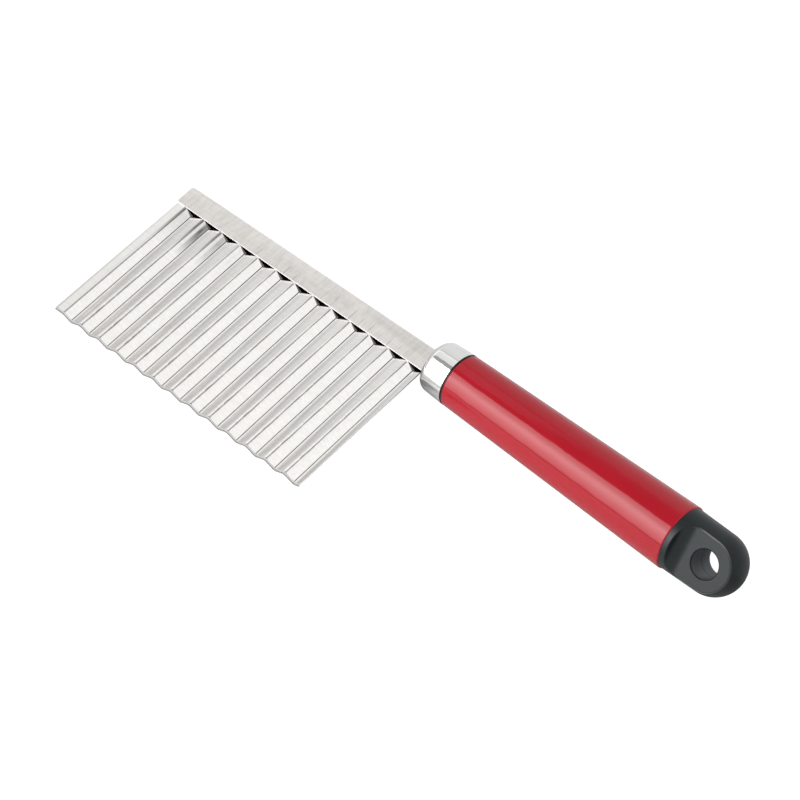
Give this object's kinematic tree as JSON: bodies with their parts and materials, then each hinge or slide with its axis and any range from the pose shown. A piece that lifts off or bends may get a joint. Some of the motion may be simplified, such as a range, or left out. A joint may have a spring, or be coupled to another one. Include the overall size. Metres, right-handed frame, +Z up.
{
  "type": "crinkle cutter knife",
  "caption": "Hand-held crinkle cutter: corrugated steel blade crimped in a folded spine, on a painted tube handle with a scooped end cap and hanging hole.",
  "frame": {"origin": "bottom centre of the knife's bounding box, on the table that the knife lies on", "axes": "+X from the blade's tip to the handle's end cap, +Y from the cutting edge to the spine's back, +Z up"},
  "size_m": [0.2926, 0.0932, 0.0274],
  "materials": {
    "corrugated_blade": "bright brushed stainless",
    "end_cap": "satin black moulded",
    "ferrule": "bright plated",
    "handle_core": "black moulded",
    "handle_tube": "gloss red",
    "spine_channel": "satin stainless",
    "tang_pin": "plain steel"
  },
  "bodies": {
    "root": {"corrugated_blade": "corrugated_blade", "end_cap": "end_cap", "ferrule": "ferrule", "handle_core": "handle_core", "handle_tube": "handle_tube", "spine_channel": "spine_channel", "tang_pin": "tang_pin"}
  },
  "joints": []
}
